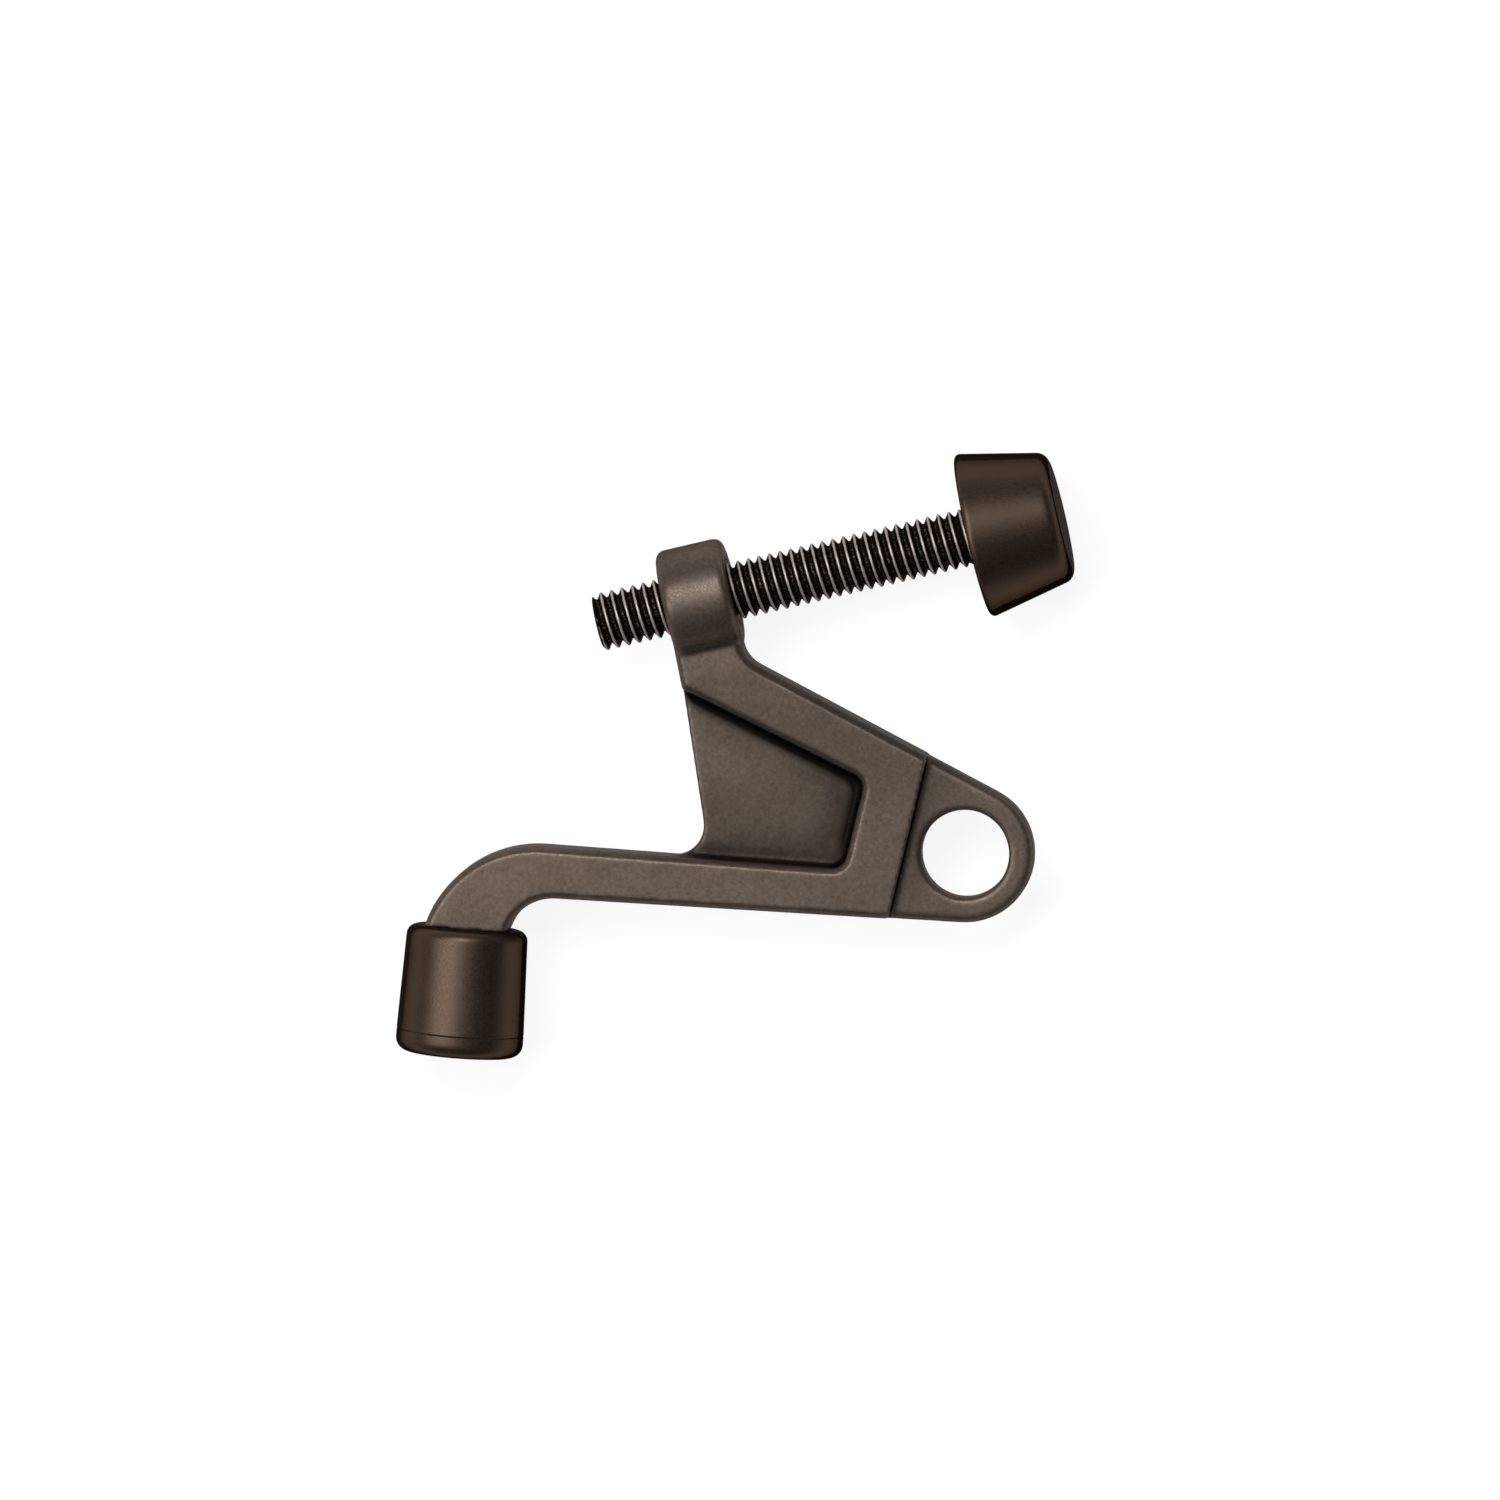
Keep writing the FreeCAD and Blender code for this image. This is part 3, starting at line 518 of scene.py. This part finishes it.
class DOORSTOP_OT_stage(bpy.types.Operator):
    """Sets the pale floor, the soft studio lights and the camera"""

    bl_idname = "doorstop.stage"
    bl_label = "Stage"
    bl_options = {"REGISTER", "UNDO"}

    def execute(self, context):
        scene = context.scene
        floor_mesh = self.sweep(CAD_BOX[0][2] - 0.05 * MM)
        floor_mesh.materials.append(pale_floor())
        floor = bpy.data.objects.new("floor", floor_mesh)
        scene.collection.objects.link(floor)

        world = bpy.data.worlds.new("studio")
        world.use_nodes = True
        world.node_tree.nodes["Background"].inputs["Color"].default_value = (0.03, 0.03, 0.03, 1)
        world.node_tree.nodes["Background"].inputs["Strength"].default_value = 1.0
        scene.world = world
        scene.view_settings.view_transform = "Standard"

        middle = Vector((-0.019, 0.009, 0.0))
        self.softbox(scene, "key", middle, (-0.12, 0.47, 1.0), 1.0, 0.50, 0.38, 5.7)
        self.softbox(scene, "strip", middle, (-0.66, 0.0, 1.0), 0.40, 0.12, 0.30, 0.65)

        lens_data = bpy.data.cameras.new("camera")
        camera = bpy.data.objects.new("camera", lens_data)
        scene.collection.objects.link(camera)
        distance, frame_width = 1.6, 132.75 * MM
        toward = Vector((0.075, 0.0785, 1)).normalized()
        right = Vector((0, 1, 0)).cross(toward).normalized()
        upward = toward.cross(right)
        target = Vector((-19.15 * MM, 9.01 * MM, 0))
        camera.matrix_world = Matrix.Translation(target + toward * distance) @ Matrix(
            (right, upward, toward)
        ).transposed().to_4x4()
        lens_data.lens = lens_data.sensor_width * distance / frame_width
        lens_data.clip_start, lens_data.clip_end = 0.05, 20
        scene.camera = camera
        return {"FINISHED"}

    @staticmethod
    def sweep(level):
        """A round floor that turns up at its far edge: height = level + 0.5 m * (how far past 3 m) squared."""
        reach = np.concatenate([[0.5, 3.0], np.linspace(3.0, 4.0, 13)[1:]])
        turn = np.arange(64) * TURN / 64
        heights = level + 0.5 * np.maximum(reach - 3.0, 0) ** 2
        rings = np.stack([
            np.outer(reach, np.cos(turn)), np.outer(reach, np.sin(turn)), np.repeat(heights[:, None], 64, axis=1),
        ], -1)
        ring, spoke = np.meshgrid(np.arange(len(reach) - 1), np.arange(64), indexing="ij")
        a, b = ring * 64 + spoke, ring * 64 + (spoke + 1) % 64
        middle = np.full(64, len(reach) * 64)
        disc = np.stack([middle, np.arange(64), (np.arange(64) + 1) % 64], -1)
        skin = np.concatenate([np.stack([a, a + 64, b + 64], -1), np.stack([a, b + 64, b], -1)]).reshape(-1, 3)
        return mesh_of("floor", np.vstack([rings.reshape(-1, 3), [(0, 0, level)]]), np.concatenate([skin, disc]))

    @staticmethod
    def softbox(scene, name, middle, direction, distance, wide, high, watts):
        """A rectangular soft light that faces the middle of the object and isn't itself seen."""
        data = bpy.data.lights.new(name, "AREA")
        data.shape, data.size, data.size_y, data.energy = "RECTANGLE", wide, high, watts
        light = bpy.data.objects.new(name, data)
        scene.collection.objects.link(light)
        away = Vector(direction).normalized()
        light.location = middle + away * distance
        light.rotation_euler = (-away).to_track_quat("-Z", "Y").to_euler()
        light.visible_camera = False


class DOORSTOP_OT_casting(bpy.types.Operator):
    """Gives the bracket its soft cast skin and oil-rubbed bronze finish"""

    bl_idname = "doorstop.casting"
    bl_label = "Cast Bracket"
    bl_options = {"REGISTER", "UNDO"}

    def execute(self, context):
        sizes = context.scene.doorstop_sizes
        line = screw_line()
        skin = cast_skin("casting", self.boss(line, sizes), sizes.skin_voxel, sizes.skin_passes)
        # Oil patina with painted shade in the corners, rubbed edges, and painted shade, kept on the skin for the
        # material
        oil_and_shade, rubbed, painted_shade = weathering_and_shade(skin, line, sizes.skin_voxel)
        paint(skin, "oil_and_shade", oil_and_shade)
        paint(skin, "rubbed", rubbed)
        paint(skin, "painted_shade", painted_shade)
        show("cast_bracket", skin, oil_rubbed_bronze(context.scene.doorstop_finishes), "bracket",
             "casting")
        return {"FINISHED"}

    @staticmethod
    def boss(line, sizes):
        """The boss as a ring with rounded ends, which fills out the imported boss's bevels."""
        rear, front, outside = BOSS
        inside, size = 3.2 * MM, sizes.boss_rounding
        corners = [
            (rear, inside, 0), (rear, outside, size), (front, outside, size), (front, inside, 0), (rear, inside, 0),
        ]
        path = rounded_profile(corners, 0.4 * MM)
        return turned_mesh("boss_form", line, path[:, 0], path[:, 1], 96, ring=True)


def thread_form(phase):
    """The thread's height from root 0 to crest 1, at a phase of the turn from 0 to 1 with the crest at 0.

    A narrow flat crest and a narrow flat root, joined by straight flanks.
    """
    crest, root = 0.06, 0.08
    off_crest = np.abs((phase + 0.5) % 1 - 0.5)
    return np.clip((0.5 - root - off_crest) / (0.5 - root - crest), 0, 1)


class DOORSTOP_OT_screw(bpy.types.Operator):
    """Cuts the right-hand thread on the adjusting screw"""

    bl_idname = "doorstop.screw"
    bl_label = "Threaded Screw"
    bl_options = {"REGISTER", "UNDO"}

    def execute(self, context):
        sizes = context.scene.doorstop_sizes
        line = screw_line()
        tail, head_front, head_radius = line.span("adjusting_screw")
        bumper_rear = line.span("screw_bumper")[0]
        crest_radius = line.span("adjusting_screw", bumper_rear)[2]
        facets = sizes.thread_facets
        # The threaded length: radius(u, v) is the root, plus the thread's form at the phase u / pitch - v / turn
        steps = np.arange(tail, bumper_rear, sizes.thread_pitch / facets)
        phase = steps[:, None] / sizes.thread_pitch - np.arange(facets)[None, :] / facets + 0.36
        height = thread_form(phase)
        # The thread runs out into a plain collar just before the bumper, and the tail has a lead-in chamfer
        collar = np.clip((steps - (bumper_rear - 1.1 * MM)) / (0.7 * MM), 0, 1)[:, None]
        height = np.maximum(height, collar * 0.85)
        radius = crest_radius - sizes.thread_depth * (1 - height)
        lead_in = (crest_radius - 0.3 * MM + (steps - tail))[:, None]
        radius = np.minimum(radius, lead_in)
        # Behind the rubber: a plain shank and the disc head
        head_rear = head_front - 1.8 * MM
        shank_radius = crest_radius - 0.1 * MM
        rest = np.array([
            (bumper_rear, shank_radius), (head_rear, shank_radius), (head_rear, head_radius),
            (head_front, head_radius),
        ])
        along = np.concatenate([steps, rest[:, 0]])
        radius = np.vstack([radius, np.repeat(rest[:, 1:], facets, axis=1)])
        mesh = turned_mesh("threaded_screw", line, along, radius, facets, sharp=40)
        height = 1 - (crest_radius - radius[:len(steps)]) / sizes.thread_depth
        shown = np.vstack([height, np.full((len(rest), facets), 0.9)]).ravel()
        paint(mesh, "height", np.concatenate([shown, [0.5, 0.5]]))
        show("threaded_screw", mesh, threaded_bronze(context.scene.doorstop_finishes), "screw",
             "adjusting_screw")
        return {"FINISHED"}


class DOORSTOP_OT_rubbers(bpy.types.Operator):
    """Moulds the bumper on the screw and the tip on the foot"""

    bl_idname = "doorstop.rubbers"
    bl_label = "Rubber Bumper and Tip"
    bl_options = {"REGISTER", "UNDO"}

    def execute(self, context):
        facets = context.scene.doorstop_sizes.rubber_facets
        finishes = context.scene.doorstop_finishes
        self.bumper(facets, finishes)
        self.tip(facets, finishes)
        return {"FINISHED"}

    @staticmethod
    def bumper(facets, finishes):
        """From the cavity's middle, round the screw head's cavity, out over the rear face and on to the front."""
        line = screw_line()
        rear, front, rim = line.span("screw_bumper")
        face = 5.7 * MM
        bore, cavity = 2.55 * MM, 4.85 * MM
        corners = [
            (rear + 4.45 * MM, 0.001 * MM, 0), (rear + 4.45 * MM, cavity, 0), (rear + 2.55 * MM, cavity, 0),
            (rear + 2.55 * MM, bore, 0), (rear, bore, 0), (rear, rim, 0.45 * MM),
            (rear + 1.0 * MM, rim - 0.22 * MM, 2.0 * MM), (front, face, 1.2 * MM), (front, 0.001 * MM, 0),
        ]
        path = rounded_profile(corners, 0.4 * MM)
        mesh = turned_mesh("rubber_bumper", line, path[:, 0], path[:, 1], facets)
        show("rubber_bumper", mesh, moulded_rubber(finishes, "moulded_rubber_bumper"), "bumper",
             "screw_bumper")

    @staticmethod
    def tip(facets, finishes):
        """From the sole's middle, up the side over the parting line, and down into the socket."""
        line = foot_line()
        sole, seat, widest = line.span("foot_tip")
        parting, line_depth = sole + 2.0 * MM, 0.06 * MM
        corners = [
            (sole, 0.001 * MM, 0), (sole, widest, 1.2 * MM), (parting - 0.08 * MM, widest, 0),
            (parting, widest - line_depth, 0), (parting + 0.08 * MM, widest, 0),
            (seat, 5.35 * MM, 0.9 * MM), (seat, 2.32 * MM, 0), (seat - 5.38 * MM, 2.32 * MM, 0),
            (seat - 5.38 * MM, 3.12 * MM, 0), (seat - 7.62 * MM, 2.22 * MM, 0), (seat - 7.62 * MM, 0.001 * MM, 0),
        ]
        path = rounded_profile(corners, 0.4 * MM)
        mesh = turned_mesh("rubber_foot_tip", line, path[:, 0], path[:, 1], facets)
        show("rubber_foot_tip", mesh, moulded_rubber(finishes, "moulded_rubber_tip"), "bracket",
             "foot_tip")


class DOORSTOP_PT_panel(bpy.types.Panel):
    """The door stop's tab in the sidebar."""

    bl_idname = "DOORSTOP_PT_panel"
    bl_label = "Door Stop"
    bl_space_type = "VIEW_3D"
    bl_region_type = "UI"
    bl_category = "Door Stop"

    def draw(self, context):
        layout = self.layout
        for group in (context.scene.doorstop_sizes, context.scene.doorstop_finishes):
            box = layout.box()
            for name in group.__annotations__:
                box.prop(group, name)
        for operator in OPERATORS:
            layout.operator(operator.bl_idname)


OPERATORS = (DOORSTOP_OT_stage, DOORSTOP_OT_casting, DOORSTOP_OT_screw, DOORSTOP_OT_rubbers)
CLASSES = (DOORSTOP_PG_sizes, DOORSTOP_PG_finishes, *OPERATORS, DOORSTOP_PT_panel)


def register():
    """Adds the classes and the scene's two groups of properties."""
    for item in CLASSES:
        bpy.utils.register_class(item)
    bpy.types.Scene.doorstop_sizes = PointerProperty(type=DOORSTOP_PG_sizes)
    bpy.types.Scene.doorstop_finishes = PointerProperty(type=DOORSTOP_PG_finishes)


def unregister():
    """Takes away what register adds."""
    del bpy.types.Scene.doorstop_finishes
    del bpy.types.Scene.doorstop_sizes
    for item in reversed(CLASSES):
        bpy.utils.unregister_class(item)


def main():
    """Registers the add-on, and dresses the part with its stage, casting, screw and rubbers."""
    register()
    bpy.ops.doorstop.stage()
    bpy.ops.doorstop.casting()
    bpy.ops.doorstop.screw()
    bpy.ops.doorstop.rubbers()
    bpy.context.view_layer.update()


if __name__ == "__main__":
    main()
